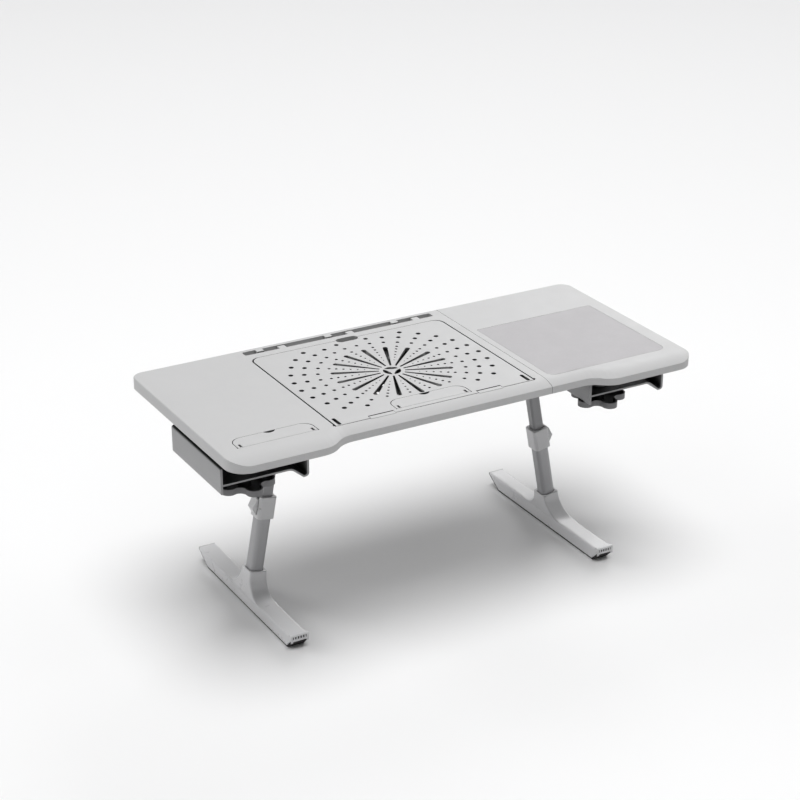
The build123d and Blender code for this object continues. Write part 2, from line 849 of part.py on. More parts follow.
with BuildPart() as wing_base:
    with BuildSketch(board_level(under_z)):
        add(inside_plan(cover_inset, wing_edge + cover_inset, half_width))
        with Locations(*wing_screw_spots, *post_screw_spots(1)):
            Circle(screw_radius + screw_slack, mode=Mode.SUBTRACT)
        with Locations(*bracket_screw_spots(1)):
            Circle(big_screw_radius + screw_slack, mode=Mode.SUBTRACT)
        with Locations((tray_pivot[1], pivot_y)):
            Circle(tray_bolt_radius + screw_slack, mode=Mode.SUBTRACT)
    extrude(amount=base_thickness)
keep(wing_base, "wing_base")

base_spots = main_screw_spots + wing_screw_spots
base_screws = screw_group(base_spots, under_z, screw_radius, screw_length, screw_head, screw_head_height)
keep(base_screws, "base_screws")

with BuildPart() as joining_bars:
    for bar_y, bar_width in bars:
        with BuildSketch(board_level(base_top, seam_x, bar_y)):
            Rectangle(bar_length, bar_width)
            with Locations((-bar_screw_out, 0), (bar_screw_out, 0)):
                Circle(screw_radius + seat_gap, mode=Mode.SUBTRACT)
        extrude(amount=bar_height)
keep(joining_bars, "joining_bars")

with BuildPart() as panel_hinge_pins:
    add(hinge_bars(hinge_pin_radius, hinge_lug_width + 2 * hinge_pin_hold))
keep(panel_hinge_pins, "panel_hinge_pins")

# Vent panel, lying in the well and hinged along its front edge
with BuildSketch() as vent_slot:
    with BuildLine():
        low = slot_inner_width / 2
        high = slot_outer_width / 2
        shoulder = slot_outer - high
        Polyline((shoulder, high), (slot_inner, low), (slot_inner, -low), (shoulder, -high))
        ThreePointArc((shoulder, high), (slot_outer, 0), (shoulder, -high))
    make_face()

with BuildSketch() as hub_slot:
    with BuildLine():
        half = radians(hub_opening_span / 2)
        first = (hub_outer * cos(half), -hub_outer * sin(half))
        last = (hub_outer * cos(half), hub_outer * sin(half))
        ThreePointArc(first, (hub_outer, 0), last)
        ThreePointArc(first, (hub_outer - hub_opening_depth, 0), last)
    make_face()

with BuildSketch() as vents:
    with PolarLocations(0, slot_count):
        add(vent_slot.sketch)
    with PolarLocations(0, hub_openings, start_angle=hub_turn):
        add(hub_slot.sketch)
    for x, y, radius in dot_spots(spoke_dot_places, spoke_dot_sizes, slot_count, 180 / slot_count):
        with Locations((x, y)):
            Circle(radius)
    for x, y, radius in dot_spots(ring_places, ring_sizes, 2 * slot_count, 0):
        with Locations((x, y)):
            Circle(radius)

with BuildPart() as vent_panel:
    with BuildSketch(board_level(panel_under, panel_x)) as panel_plan:
        with Locations((0, (panel_front + panel_rear) / 2)):
            Rectangle(panel_width, panel_rear - panel_front)
        fillet(panel_plan.vertices().group_by(Axis.Y)[-1], panel_corner)
        for turn in (-1, 1):
            notch_rear = lug_rear + hinge_lug_gap
            with Locations((turn * hinge_spread, (notch_rear + well_front) / 2)):
                Rectangle(hinge_lug_width + 2 * hinge_lug_gap, notch_rear - well_front, mode=Mode.SUBTRACT)
            slot_x = turn * (panel_width / 2 - corner_slot_inset)
            with Locations((slot_x, panel_front + corner_slot_front + corner_slot_length / 2)):
                SlotOverall(corner_slot_length, corner_slot_width, rotation=90, mode=Mode.SUBTRACT)
        with Locations((0, notch_y)):
            SlotOverall(notch_width, notch_depth, mode=Mode.SUBTRACT)
        with Locations((0, vent_y)):
            add(vents.sketch, mode=Mode.SUBTRACT)
    extrude(amount=panel_thickness)
    front_edges = vent_panel.edges().filter_by(Axis.X).group_by(Axis.Y)[0]
    fillet(front_edges, panel_front_round)
    # Recess of the panel stop, with its hinge lugs
    with BuildSketch(board_level(top_z, panel_x, panel_stop_front)):
        add(stop_recess())
    extrude(amount=-stop_floor, mode=Mode.SUBTRACT)
    add(stop_lugs(panel_x, panel_stop_front))
    lug_bore = stop_pin_radius + seat_gap
    add(stop_bars(panel_x, panel_stop_front, lug_bore, stop_lug_width + wall), mode=Mode.SUBTRACT)
    hinge_bore = hinge_pin_radius + running_gap
    add(hinge_bars(hinge_bore, hinge_lug_width + 2 * hinge_pin_hold + 1), mode=Mode.SUBTRACT)
    # Blind holes for the fan's screws
    with BuildSketch(board_level(panel_under, panel_x, vent_y)):
        with PolarLocations(ear_reach, fan_arms, start_angle=fan_ear_turn):
            Circle(screw_radius + seat_gap)
    extrude(amount=fan_screw_length - fan_ear_thickness + screw_slack, mode=Mode.SUBTRACT)
keep(vent_panel, "vent_panel")

# Flip-up stops and their pins
for stop_name, stop_x, stop_front in (
    ("wing_stop", wing_stop_x, wing_stop_front),
    ("panel_stop", panel_x, panel_stop_front),
):
    notch_radius = (stop_notch_width**2 / 4 + stop_notch_depth**2) / (2 * stop_notch_depth)
    with BuildPart() as stop:
        with BuildSketch(board_level(top_z, stop_x, stop_front)):
            add(stop_plan(0, 0))
            with Locations((0, stop_depth - stop_notch_depth + notch_radius)):
                Circle(notch_radius, mode=Mode.SUBTRACT)
        extrude(amount=-stop_thickness)
        fillet(stop.edges().filter_by(Axis.X).group_by(Axis.Y)[0], stop_front_round)
        with BuildSketch(board_level(top_z, stop_x, stop_front)):
            slot_y = stop_slot_length / 2
            with Locations((-stop_hinge_spread, slot_y), (stop_hinge_spread, slot_y)):
                Rectangle(stop_slot_width, stop_slot_length)
        extrude(amount=-stop_thickness, mode=Mode.SUBTRACT)
        stop_bore = stop_pin_radius + running_gap
        add(stop_bars(stop_x, stop_front, stop_bore, stop_pin_length + 1), mode=Mode.SUBTRACT)
    keep(stop, stop_name)
    with BuildPart() as stop_pins:
        add(stop_bars(stop_x, stop_front, stop_pin_radius, stop_pin_length))
    keep(stop_pins, f"{stop_name}_pins")

# Fan: frame, motor, rotor, screws and power socket
with BuildPart() as fan_frame:
    with BuildSketch(board_level(fan_low, panel_x, vent_y)):
        Circle(fan_ring_inner + fan_ring_wall)
        Circle(fan_ring_inner, mode=Mode.SUBTRACT)
    extrude(amount=panel_under - fan_low)
    with BuildSketch(board_level(fan_low, panel_x, vent_y)):
        Circle(fan_plate_radius)
        with PolarLocations((fan_ring_inner + fan_ring_wall / 2) / 2, fan_arms, start_angle=fan_ear_turn):
            Rectangle(fan_ring_inner + fan_ring_wall / 2, fan_arm_width)
    extrude(amount=fan_arm_thickness)
    with BuildSketch(board_level(panel_under, panel_x, vent_y)):
        with PolarLocations(ear_reach, fan_arms, start_angle=fan_ear_turn):
            Circle(fan_ear_radius)
        Circle(fan_ring_inner, mode=Mode.SUBTRACT)
    extrude(amount=-fan_ear_thickness)
    with BuildSketch(board_level(panel_under, panel_x, vent_y)):
        with PolarLocations(ear_reach, fan_arms, start_angle=fan_ear_turn):
            Circle(screw_radius + screw_slack)
    extrude(amount=-fan_ear_thickness, mode=Mode.SUBTRACT)
keep(fan_frame, "fan_frame")

ear_turns = [radians(fan_ear_turn + 360 * n / fan_arms) for n in range(fan_arms)]
ear_spots = [(panel_x + ear_reach * cos(turn), vent_y + ear_reach * sin(turn)) for turn in ear_turns]
ear_low = panel_under - fan_ear_thickness
fan_screws = screw_group(ear_spots, ear_low, screw_radius, fan_screw_length, screw_head, screw_head_height)
keep(fan_screws, "fan_screws")

rotor_top = panel_under - fan_hub_gap
with BuildPart() as fan_motor:
    with BuildSketch(board_level(fan_plate_top, panel_x, vent_y)):
        Circle(motor_radius)
    extrude(amount=motor_height)
    with BuildSketch(board_level(fan_plate_top, panel_x, vent_y)):
        Circle(motor_shaft_radius)
    extrude(amount=rotor_top - fan_hub_wall / 2 - fan_plate_top)
keep(fan_motor, "fan_motor")

with BuildPart() as fan_rotor:
    with BuildSketch(board_level(fan_plate_top + fan_hub_gap, panel_x, vent_y)):
        Circle(fan_hub_radius)
    extrude(amount=rotor_top - fan_plate_top - fan_hub_gap)
    for n in range(fan_blades):
        turn = 2 * pi * n / fan_blades
        pitch = radians(fan_blade_pitch)
        out = (cos(turn), sin(turn), 0)
        tilt = (-sin(turn) * sin(pitch), cos(turn) * sin(pitch), cos(pitch))
        blade_middle = (panel_x, board_y + vent_y, panel_under - fan_blade_drop)
        with BuildSketch(Plane(blade_middle, x_dir=out, z_dir=tilt)):
            with BuildLine():
                Polyline(
                    (fan_hub_radius - fan_hub_wall, -fan_blade_root),
                    (fan_blade_tip, -fan_blade_lead),
                    (fan_blade_tip, fan_blade_trail),
                    (fan_hub_radius - fan_hub_wall, fan_blade_root),
                    close=True,
                )
            make_face()
        extrude(amount=fan_blade_thickness / 2, both=True)
    with BuildSketch(board_level(rotor_top - fan_hub_wall, panel_x, vent_y)):
        Circle(fan_hub_radius - fan_hub_wall)
    extrude(amount=-(rotor_top - fan_hub_wall - fan_plate_top), mode=Mode.SUBTRACT)
    with BuildSketch(board_level(fan_plate_top + motor_height + fan_hub_gap, panel_x, vent_y)):
        Circle(fan_hub_boss)
    extrude(amount=rotor_top - fan_plate_top - motor_height - fan_hub_gap)
    with BuildSketch(board_level(fan_plate_top, panel_x, vent_y)):
        Circle(motor_shaft_radius + running_gap)
    extrude(amount=rotor_top - fan_hub_wall / 2 - fan_plate_top, mode=Mode.SUBTRACT)
keep(fan_rotor, "fan_rotor")

with BuildPart() as fan_power_socket:
    power_y = panel_rear - power_rear - power_depth / 2
    with BuildSketch(board_level(panel_under, panel_x + power_out, power_y)):
        Rectangle(power_width, power_depth)
    extrude(amount=-power_height)
    with Locations((panel_x + power_out, board_y + panel_rear - power_rear - power_mouth_depth / 2,
                    panel_under - power_height / 2)):
        Box(power_mouth_width, power_mouth_depth, power_mouth_height, mode=Mode.SUBTRACT)
keep(fan_power_socket, "fan_power_socket")

# Screws of the leg brackets and of the tray posts
bracket_places = bracket_screw_spots(-1) + bracket_screw_spots(1)
bracket_screws = screw_group(bracket_places, under_z - bracket_plate, big_screw_radius, big_screw_length,
                             big_screw_head, big_screw_head_height)
keep(bracket_screws, "bracket_screws")
post_places = post_screw_spots(-1) + post_screw_spots(1)
post_screw_set = screw_group(post_places, under_z - post_flange, screw_radius, screw_length + post_flange,
                             screw_head, screw_head_height)
keep(post_screw_set, "tray_post_screws")

# Legs, each leaning outward from a pin under the board
cheek_near = upper_size / 2 + bracket_cheek_gap
cheek_far = cheek_near + bracket_cheek
for side, side_name in sides:
    leg = leg_plane(side)
    pin_spot = (side * pin_x, leg_y, pin_z)
    with BuildPart() as leg_bracket:
        with BuildSketch(board_level(under_z, side * pin_x, leg_setback)):
            Rectangle(bracket_length, bracket_width)
            with Locations(*bracket_spots):
                Circle(big_screw_radius + screw_slack, mode=Mode.SUBTRACT)
        extrude(amount=-bracket_plate)
        with BuildSketch(Plane(pin_spot, x_dir=(side, 0, 0), z_dir=(0, -side, 0))):
            with BuildLine():
                Polyline(
                    (-bracket_inner, pin_drop - bracket_plate),
                    (bracket_outer, pin_drop - bracket_plate),
                    (bracket_outer, -bracket_low + wall),
                    (bracket_nose, -bracket_low),
                    (-bracket_nose / 2, -bracket_nose),
                    (-bracket_nose, -bracket_nose / 2),
                    close=True,
                )
            make_face()
        extrude(amount=cheek_far, both=True)
        with Locations((side * pin_x, leg_y, under_z - bracket_plate - bracket_width / 2)):
            Box(2 * bracket_length, 2 * cheek_near, bracket_width, mode=Mode.SUBTRACT)
        stop_out = upper_size / 2 + bracket_stop_gap
        with BuildSketch(leg_plane(side, bracket_stop_end)):
            with Locations((stop_out + bracket_cheek / 2, 0)):
                Rectangle(bracket_cheek, 2 * cheek_far)
        extrude(amount=bracket_stop_end - bracket_stop_start)
        with BuildSketch(Plane(pin_spot, z_dir=(0, 1, 0))):
            Circle(leg_pin_radius + seat_gap)
        extrude(amount=bracket_width, both=True, mode=Mode.SUBTRACT)
    keep(leg_bracket, f"leg_bracket_{side_name}")

    with BuildPart() as leg_pin:
        with BuildSketch(Plane(pin_spot, z_dir=(0, 1, 0))):
            Circle(leg_pin_radius)
        extrude(amount=cheek_far + leg_pin_radius / 2, both=True)
    keep(leg_pin, f"leg_pin_{side_name}")

    upper_end = collar_start + upper_overlap
    with BuildPart() as upper_tube:
        with BuildSketch(leg_plane(side, upper_end)):
            RectangleRounded(upper_size, upper_size, upper_corner)
            inner_size = upper_size - 2 * upper_wall
            RectangleRounded(inner_size, inner_size, upper_corner - upper_wall, mode=Mode.SUBTRACT)
        extrude(amount=upper_end + upper_top)
        with BuildSketch(Plane(pin_spot, z_dir=(0, 1, 0))):
            Circle(leg_pin_radius + running_gap)
        extrude(amount=upper_size, both=True, mode=Mode.SUBTRACT)
    keep(upper_tube, f"upper_tube_{side_name}")

    with BuildPart() as collar:
        with BuildSketch(leg_plane(side, collar_end)):
            RectangleRounded(collar_size, collar_size, collar_corner)
        extrude(amount=collar_length)
        fillet(collar.faces().sort_by(Axis.Z)[-1].edges(), collar_round)
        with BuildSketch(leg_plane(side, collar_end)):
            bore = upper_size + 2 * slide_gap
            RectangleRounded(bore, bore, upper_corner + slide_gap)
        extrude(amount=collar_length, mode=Mode.SUBTRACT)
        with BuildSketch(leg_plane(side, collar_end)):
            seat = lower_size + 2 * socket_gap
            RectangleRounded(seat, seat, lower_corner + socket_gap)
        extrude(amount=collar_socket, mode=Mode.SUBTRACT)
        with BuildSketch(leg_plane(side, lever_pivot + lever_pocket_low)):
            with Locations(((upper_size + collar_size) / 4, 0)):
                Rectangle((collar_size - upper_size) / 2 + wall, 2 * lever_pocket_half)
        extrude(amount=lever_pocket_low + lever_pivot_below, mode=Mode.SUBTRACT)
        with BuildSketch(leg_profile_plane(side, lever_pivot)):
            with Locations((lever_pivot_out, 0)):
                Circle(lever_pin_radius + seat_gap)
        extrude(amount=collar_size, both=True, mode=Mode.SUBTRACT)
    keep(collar, f"collar_{side_name}")

    with BuildPart() as lever:
        with BuildSketch(leg_profile_plane(side, lever_pivot)):
            with BuildLine():
                face = collar_size / 2 + lever_clear
                Polyline(
                    (lever_top_inner, lever_top),
                    (lever_top_outer, lever_top),
                    (lever_knee_out, lever_knee),
                    (lever_end_out, lever_end),
                    (face, lever_end),
                    (face, -lever_boss),
                    (lever_pivot_out, -lever_boss),
                    (lever_pivot_out, lever_boss),
                    (lever_top_inner, lever_boss),
                    close=True,
                )
            make_face()
            with Locations((lever_pivot_out, 0)):
                Circle(lever_boss)
                Circle(lever_pin_radius + running_gap, mode=Mode.SUBTRACT)
        extrude(amount=lever_half, both=True)
    keep(lever, f"lever_{side_name}")

    with BuildPart() as lever_pin:
        with BuildSketch(leg_profile_plane(side, lever_pivot)):
            with Locations((lever_pivot_out, 0)):
                Circle(lever_pin_radius)
        extrude(amount=lever_pin_half, both=True)
    keep(lever_pin, f"lever_pin_{side_name}")

    with BuildPart() as lower_tube:
        with BuildSketch(leg_plane(side, socket_end)):
            RectangleRounded(lower_size, lower_size, lower_corner)
            lower_inner = lower_size - 2 * lower_wall
            RectangleRounded(lower_inner, lower_inner, lower_corner - lower_wall, mode=Mode.SUBTRACT)
        extrude(amount=socket_end - lower_start)
    keep(lower_tube, f"lower_tube_{side_name}")

    # Foot: a beam with a leaning saddle that holds the tube
    heel_low = foot_height - heel_face
    heel_slope = heel_low / heel_undercut
    heel_slant = sole_thickness * sqrt(1 + heel_slope**2)
    heel_shift = (heel_slant - sole_thickness) / heel_slope
    toe_low = foot_height - toe_face
    toe_slope = toe_low / toe_undercut
    toe_slant = sole_thickness * sqrt(1 + toe_slope**2)
    toe_shift = (toe_slant - sole_thickness) / toe_slope
    rear_tip = foot_length / 2
    front_tip = foot_length / 2 - toe_reach
    beam_plane = Plane((side * foot_x - foot_width / 2, leg_y, 0), x_dir=(0, 1, 0), z_dir=(1, 0, 0))
    with BuildPart() as saddle:
        for height, half in saddle_levels:
            saddle_x = side * (foot_x - height * tan(radians(leg_lean)))
            with BuildSketch(Plane((saddle_x, leg_y, foot_height + height))):
                RectangleRounded(foot_width, 2 * half, foot_round)
        loft()
        split(bisect_by=leg_plane(side, socket_rim), keep=Keep.BOTTOM)
    with BuildPart() as foot:
        with BuildSketch(beam_plane):
            with BuildLine():
                Polyline(
                    (-front_tip, foot_height),
                    (-front_tip, toe_low + toe_slant),
                    (toe_undercut + toe_shift - front_tip, sole_thickness),
                    (rear_tip - heel_undercut - heel_shift, sole_thickness),
                    (rear_tip, heel_low + heel_slant),
                    (rear_tip, foot_height),
                    close=True,
                )
            make_face()
        extrude(amount=foot_width)
        fillet(foot.faces().sort_by(Axis.Z)[-1].edges().filter_by(Axis.Y), foot_round)
        add(saddle.part)
        with BuildSketch(leg_plane(side, socket_end)):
            seat = lower_size + 2 * socket_gap
            RectangleRounded(seat, seat, lower_corner + socket_gap)
        extrude(amount=socket_end - socket_rim + wall, mode=Mode.SUBTRACT)
        with BuildSketch(leg_plane(side, socket_rim + socket_mouth_depth)):
            mouth = lower_size + 2 * socket_mouth_gap
            RectangleRounded(mouth, mouth, lower_corner + socket_mouth_gap)
        extrude(amount=socket_mouth_depth + wall, mode=Mode.SUBTRACT)
        with BuildSketch(leg_plane(side, bolt_seat)):
            Circle(foot_bolt_radius + screw_slack)
        extrude(amount=foot_height, mode=Mode.SUBTRACT)
        with BuildSketch(leg_plane(side, bolt_seat)):
            Circle(foot_bolt_head + foot_bolt_room)
        extrude(amount=-foot_height, mode=Mode.SUBTRACT)
    keep(foot, f"foot_{side_name}")

    # Rubber sole, wrapped up both slanted ends, with a plate up the front of the toe
    sole_plane = beam_plane.offset(sole_inset)
    with BuildPart() as foot_sole:
        with BuildSketch(sole_plane):
            with BuildLine():
                Polyline(
                    (-front_tip, toe_low),
                    (toe_undercut - front_tip, 0),
                    (rear_tip - heel_undercut, 0),
                    (rear_tip, heel_low),
                    (rear_tip, heel_low + heel_slant),
                    (rear_tip - heel_undercut - heel_shift, sole_thickness),
                    (toe_undercut + toe_shift - front_tip, sole_thickness),
                    (-front_tip, toe_low + toe_slant),
                    close=True,
                )
            make_face()
        extrude(amount=foot_width - 2 * sole_inset)
        with Locations((side * foot_x, leg_y - front_tip, foot_height - toe_face / 2)):
            Box(foot_width - 2 * toe_cheek, 2 * sole_plate, toe_face)
        add(foot.part, mode=Mode.SUBTRACT)
    keep(foot_sole, f"foot_sole_{side_name}")

    with BuildPart() as toe_cap:
        toe_y = leg_y - front_tip - toe_reach
        with BuildSketch(Plane((side * foot_x, toe_y + toe_lip_depth / 2, foot_height))):
            Rectangle(foot_width, toe_lip_depth)
        extrude(amount=toe_lip_height)
        fillet(toe_cap.faces().sort_by(Axis.Z)[-1].edges(), toe_lip_height / 2)
        rib_depth = toe_reach - sole_plate
        with Locations((side * foot_x, toe_y + rib_depth / 2, foot_height - toe_rib_height / 2)):
            with GridLocations(toe_rib_pitch, 1, toe_ribs, 1):
                Box(toe_rib_width, rib_depth, toe_rib_height)
        bar_z = foot_height - toe_rib_height - toe_bar_height / 2
        with Locations((side * foot_x, toe_y + rib_depth / 2, bar_z)):
            Box(foot_width - 2 * toe_cheek, rib_depth, toe_bar_height)
        with Locations((side * foot_x, toe_y + toe_reach / 2, foot_height - toe_face / 2)):
            with GridLocations(foot_width - toe_cheek, 1, 2, 1):
                Box(toe_cheek, toe_reach, toe_face)
    keep(toe_cap, f"toe_cap_{side_name}")

    plug_size = lower_inner - 2 * socket_gap
    with BuildPart() as tube_plug:
        with BuildSketch(leg_plane(side, socket_end)):
            RectangleRounded(plug_size, plug_size, lower_corner - lower_wall)
            Circle(foot_bolt_radius + seat_gap, mode=Mode.SUBTRACT)
        extrude(amount=plug_length)
    keep(tube_plug, f"tube_plug_{side_name}")

    with BuildPart() as foot_bolt:
        with BuildSketch(leg_plane(side, bolt_seat)):
            Circle(foot_bolt_radius)
        extrude(amount=foot_bolt_seat + foot_bolt_bite)
        with BuildSketch(leg_plane(side, bolt_seat)):
            Circle(foot_bolt_head)
        extrude(amount=-foot_bolt_head_height)
    keep(foot_bolt, f"foot_bolt_{side_name}")

# Trays, each hung on a post and bolt, with a hand knob below
ramp_drop = shelf_top - tray_bottom - tray_shelf
ramp_end = tray_width - tray_wall - tray_trough
ramp_top = ramp_end - ramp_drop / tan(radians(tray_ramp_angle))
ramp_shift = tray_shelf * tan(radians(tray_ramp_angle / 2))
for side, side_name in sides:
    tray_x = tray_left[side]
    pivot = (tray_pivot[side], pivot_y)
    tray_face = Plane((tray_x, board_y + tray_front, 0), x_dir=(1, 0, 0), z_dir=(0, -1, 0))
    with BuildPart() as tray:
        tray_middle = (tray_x + tray_width / 2, tray_front + tray_length / 2)
        with BuildSketch(board_level(tray_bottom, *tray_middle)) as plan:
            Rectangle(tray_width, tray_length)
            fillet(plan.vertices().group_by(Axis.Y)[-1], tray_corner)
        extrude(amount=tray_height)
        low_edges = tray.faces().sort_by(Axis.Z)[0].edges().sort_by(Axis.Y)[1:]
        fillet(low_edges, tray_bottom_round)
        top_edges = tray.faces().sort_by(Axis.Z)[-1].edges().sort_by(Axis.Y)[1:]
        fillet(top_edges, tray_top_round)
        # Room for papers above the shelf and in the pen trough
        trough_floor = tray_bottom + tray_shelf
        with BuildSketch(tray_face) as upper_room:
            with BuildLine():
                Polyline(
                    (ramp_top, shelf_top),
                    (ramp_end, trough_floor),
                    (tray_width - tray_wall, trough_floor),
                    (tray_width - tray_wall, tray_top + tray_wall),
                    (tray_wall, tray_top + tray_wall),
                    (tray_wall, shelf_top),
                    close=True,
                )
            make_face()
            bend = upper_room.vertices().sort_by_distance((ramp_top, shelf_top))[0]
            fillet(bend, tray_ramp_round)
            corner = upper_room.vertices().sort_by_distance((tray_width - tray_wall, trough_floor))[0]
            fillet(corner, tray_trough_round)
        extrude(amount=tray_wall - tray_length, mode=Mode.SUBTRACT)
        # Room below the shelf
        with BuildSketch(tray_face) as lower_room:
            with BuildLine():
                Polyline(
                    (ramp_top - ramp_shift, shelf_under),
                    (ramp_end - ramp_shift, tray_bottom),
                    (ramp_end - ramp_shift, tray_bottom - tray_wall),
                    (-tray_wall, tray_bottom - tray_wall),
                    (-tray_wall, tray_top - tray_lip_drop),
                    (tray_wall, tray_top - tray_lip_drop),
                    (tray_wall, shelf_under),
                    close=True,
                )
            make_face()
            bend = lower_room.vertices().sort_by_distance((ramp_top - ramp_shift, shelf_under))[0]
            fillet(bend, tray_ramp_round - tray_shelf)
        extrude(amount=tray_wall - tray_length, mode=Mode.SUBTRACT)
        with BuildSketch(board_level(shelf_top, *pivot)):
            Circle(tray_bolt_radius + running_gap)
        extrude(amount=-tray_shelf, mode=Mode.SUBTRACT)
    keep(tray, f"tray_{side_name}")

    with BuildPart() as tray_post:
        with BuildSketch(board_level(under_z, *pivot)):
            Circle(post_flange_radius)
            with PolarLocations(post_screw_circle, post_screws):
                Circle(screw_radius + screw_slack, mode=Mode.SUBTRACT)
        extrude(amount=-post_flange)
        with BuildSketch(board_level(under_z, *pivot)):
            Circle(post_radius)
        extrude(amount=shelf_top + post_gap - under_z)
        with BuildSketch(board_level(under_z, *pivot)):
            Circle(tray_bolt_radius + seat_gap)
        extrude(amount=shelf_top - under_z, mode=Mode.SUBTRACT)
    keep(tray_post, f"tray_post_{side_name}")

    bolt_low = knob_low + knob_bolt_cover
    with BuildPart() as tray_bolt:
        with BuildSketch(board_level(base_top, *pivot)):
            Circle(tray_bolt_head)
        extrude(amount=tray_bolt_head_height)
        with BuildSketch(board_level(base_top, *pivot)):
            Circle(tray_bolt_radius)
        extrude(amount=bolt_low + knob_gap - base_top)
    keep(tray_bolt, f"tray_bolt_{side_name}")

    with BuildPart() as tray_washer:
        with BuildSketch(board_level(washer_low, *pivot)):
            Circle(washer_radius)
            Circle(tray_bolt_radius + running_gap, mode=Mode.SUBTRACT)
        extrude(amount=washer_thickness)
    keep(tray_washer, f"tray_washer_{side_name}")

    with BuildSketch() as knob_plan:
        with BuildLine():
            for n in range(knob_lobes):
                turn = 2 * n * knob_step - pi / 2
                start = knob_joint(turn, -1)
                end = knob_joint(turn, 1)
                crest = knob_lobe_circle + knob_lobe_radius
                ThreePointArc(start, (crest * cos(turn), crest * sin(turn)), end)
                dip = knob_valley_place - knob_valley
                dip_point = (dip * cos(turn + knob_step), dip * sin(turn + knob_step))
                ThreePointArc(end, dip_point, knob_joint(turn + 2 * knob_step, -1))
        make_face()
    with BuildPart() as knob:
        with BuildSketch(board_level(knob_low, *pivot)):
            add(knob_plan.sketch)
        extrude(amount=knob_height)
        with BuildSketch(board_level(knob_low + knob_floor, *pivot)):
            add(knob_plan.sketch)
            offset(amount=-knob_wall)
        extrude(amount=knob_height, mode=Mode.SUBTRACT)
        with BuildSketch(board_level(knob_low, *pivot)):
            Circle(knob_hub)
        extrude(amount=washer_low - knob_gap - knob_low)
        with BuildSketch(board_level(bolt_low, *pivot)):
            Circle(tray_bolt_radius + running_gap)
        extrude(amount=washer_low - bolt_low, mode=Mode.SUBTRACT)
    keep(knob, f"knob_{side_name}")
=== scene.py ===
from math import radians

import bpy
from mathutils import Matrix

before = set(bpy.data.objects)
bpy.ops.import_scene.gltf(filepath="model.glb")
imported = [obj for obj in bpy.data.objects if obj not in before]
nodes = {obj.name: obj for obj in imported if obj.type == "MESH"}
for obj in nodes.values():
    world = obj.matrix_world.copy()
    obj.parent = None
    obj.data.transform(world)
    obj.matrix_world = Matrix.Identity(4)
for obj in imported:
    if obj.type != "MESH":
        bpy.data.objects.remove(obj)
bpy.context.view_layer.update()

# Camera, in metres, degrees and millimetres of lens
CAMERA_PLACE = (-1.2679, -2.1863, 1.3850)
CAMERA_TILT = 90 - 24.05
CAMERA_TURN = -29.68
CAMERA_LENS = 91.2
CAMERA_SENSOR = 36.0
CAMERA_FAR = 100.0

# Lamps: strength, then in degrees the size seen from the table, tilt to the front and lean to the right
LAMPS = {
    "top": (2.08, 42.0, 4.0, 0.0),
    "rear_left": (0.62, 30.0, -38.0, -55.0),
    "rear_right": (0.74, 30.0, -38.0, 55.0),
    "left": (0.38, 50.0, 2.0, -50.0),
    "right": (0.38, 50.0, 2.0, 50.0),
    "front": (0.24, 40.0, 38.0, -8.0),
}

# Room: how much light it gives, and how bright it looks to the camera and in shiny or clear surfaces
ROOM_COLOR = (1.0, 1.0, 1.0, 1.0)
ROOM_STRENGTH = 0.03
ROOM_SEEN = 0.8

# Floor, in metres, with a painted shade that darkens its colour between two distances, standing in for the
# lamps' falloff over the far floor
FLOOR_HALF = 12.0
FLOOR_COLOR = (0.90, 0.90, 0.902)
FLOOR_FAR_SHADE_COLOR = (0.70, 0.70, 0.705)
FLOOR_SHADE_FADE = (0.9, 4.6)
FLOOR_ROUGH = 0.9
FLOOR_SPECULAR = 0.1
FIBRE_SCALE = 500.0
FIBRE_DRIFT = 0.01

# Finish shared by all the materials; noise scales are in features per metre
DRIFT_SCALE = 7.0
DRIFT_DETAIL = 3.0
SPECKLE_DETAIL = 2.0
SPECKLE_MOTTLE = 1.5
SPECKLE_SHARE = 0.4
EDGE_SAMPLES = 4
EDGE_TURNED = (0.88, 0.995)
EDGE_PATCH_SCALE = 160.0
EDGE_PATCH_LOW = 0.35
# Samples of the occlusion test behind the painted shade in hollows
PAINTED_SHADE_SAMPLES = 8
MARK_SCALE = 45.0
MARK_DETAIL = 4.0
MARK_SMOOTHER = 0.05
MARK_ROUGHER = 0.06
RUBBED_SMOOTHER = 0.12
GRAIN_DETAIL = 3.0
GRAIN_NOISE_ROUGH = 0.6
GRAIN_STRENGTH = 0.5
LEATHER_SMOOTHNESS = 0.6

# Tubes: the legs' lean in degrees, and how far the brushing is drawn out
LEG_LEAN = 10.4
BRUSHED = (1.0, 1.0, 60.0)

# Colours
BOARD_COLOR = (0.500, 0.500, 0.503)
PAD_COLOR = (0.415, 0.405, 0.417)
COVER_COLOR = (0.05, 0.05, 0.052)
FOOT_COLOR = (0.74, 0.74, 0.75)
SOLE_COLOR = (0.018, 0.018, 0.018)
FITTING_COLOR = (0.64, 0.64, 0.648)
KNOB_COLOR = (0.18, 0.18, 0.184)
TRAY_COLOR = (0.37, 0.37, 0.376)
TUBE_COLORS = {"upper_tube": (0.25, 0.25, 0.256), "lower_tube": (0.38, 0.38, 0.39)}
BRACKET_COLOR = (0.20, 0.20, 0.205)
STEEL_COLOR = (0.55, 0.55, 0.545)
FAN_COLOR = (0.016, 0.016, 0.017)
MOTOR_COLOR = (0.05, 0.05, 0.052)
OXIDE_COLOR = (0.03, 0.03, 0.031)


def new_material(name):
    """A material with its node tree, output and principled shader."""
    material = bpy.data.materials.new(name)
    material.use_nodes = True
    tree = material.node_tree
    tree.nodes.clear()
    output = tree.nodes.new("ShaderNodeOutputMaterial")
    shader = tree.nodes.new("ShaderNodeBsdfPrincipled")
    tree.links.new(shader.outputs["BSDF"], output.inputs["Surface"])
    return material, tree, output, shader


